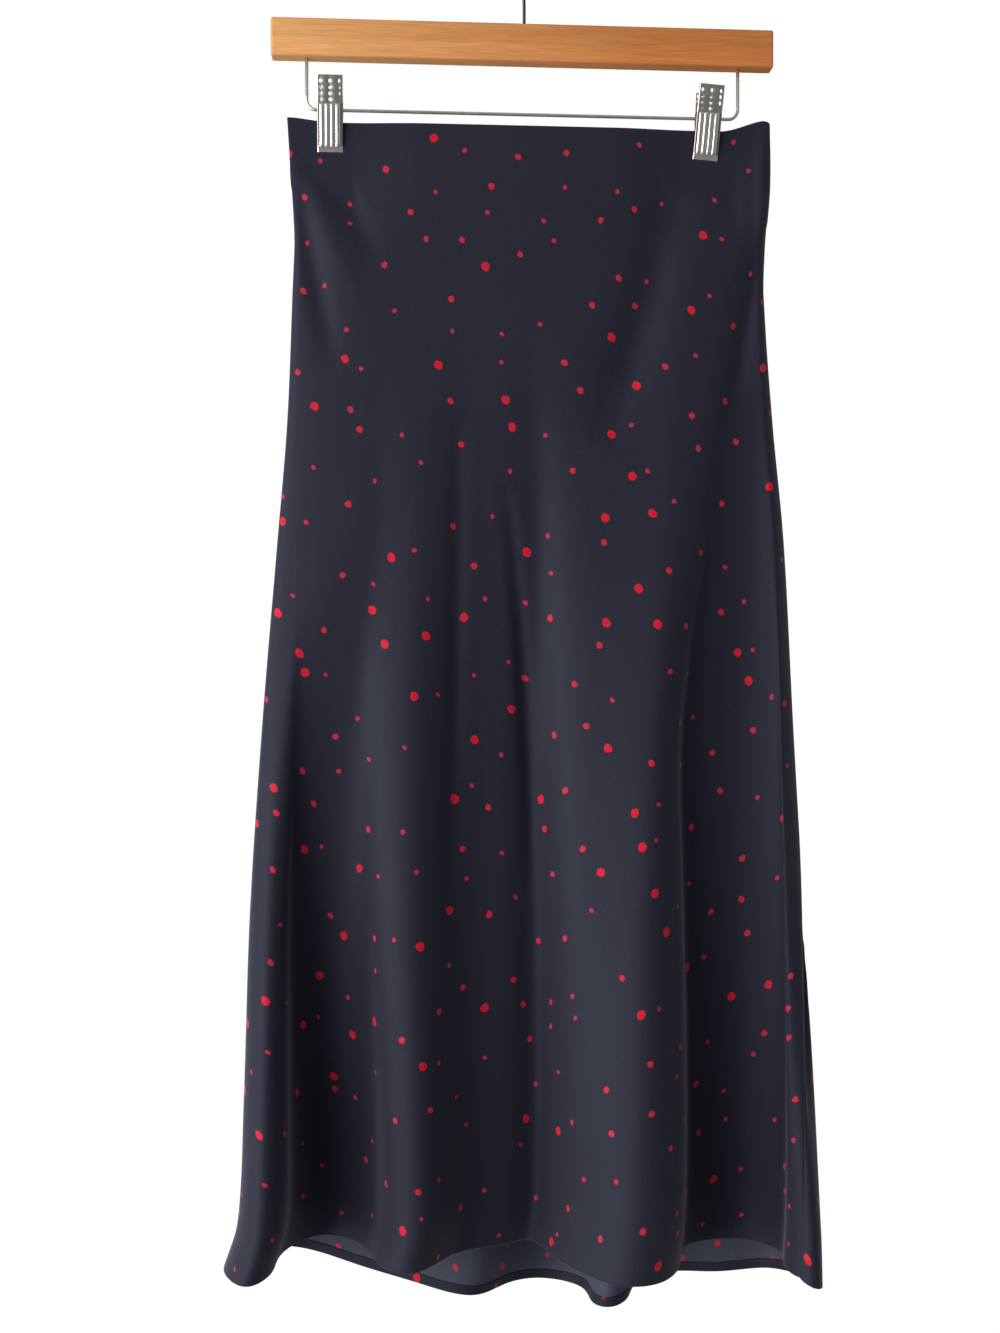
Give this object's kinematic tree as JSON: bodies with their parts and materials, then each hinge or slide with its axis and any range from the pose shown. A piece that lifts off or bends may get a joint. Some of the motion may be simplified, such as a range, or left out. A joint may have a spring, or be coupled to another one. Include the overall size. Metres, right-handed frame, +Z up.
{
  "type": "slip skirt on a clip hanger",
  "caption": "Bias-cut midi slip skirt, dark with small scattered dots, hanging by its waist from a flat wooden clip hanger.",
  "frame": {"origin": "where the inside of the hook's bow bears on the rail it hangs from", "axes": "+Z up along the hook's stem, +X to the wearer's left along the bar, seen from the front; the skirt's front faces -Y"},
  "size_m": [0.4146, 0.1211, 1.0016],
  "materials": {
    "dotted_crepe": "soft satin-backed crepe, navy near black, with scattered red dots",
    "wood": "clear satin varnish over honey-coloured wood",
    "plated_steel": "bright nickel plate",
    "dark_steel": "grey steel wire"
  },
  "bodies": {
    "root": {"front_panel": "dotted_crepe", "back_panel": "dotted_crepe", "front_hem": "dotted_crepe", "back_hem": "dotted_crepe", "hanger_bar": "wood", "hanger_hook": "dark_steel", "clip_wire": "plated_steel", "clip_left_front": "plated_steel", "clip_left_back": "plated_steel", "clip_left_spring": "plated_steel", "clip_right_front": "plated_steel", "clip_right_back": "plated_steel", "clip_right_spring": "plated_steel"}
  },
  "joints": []
}
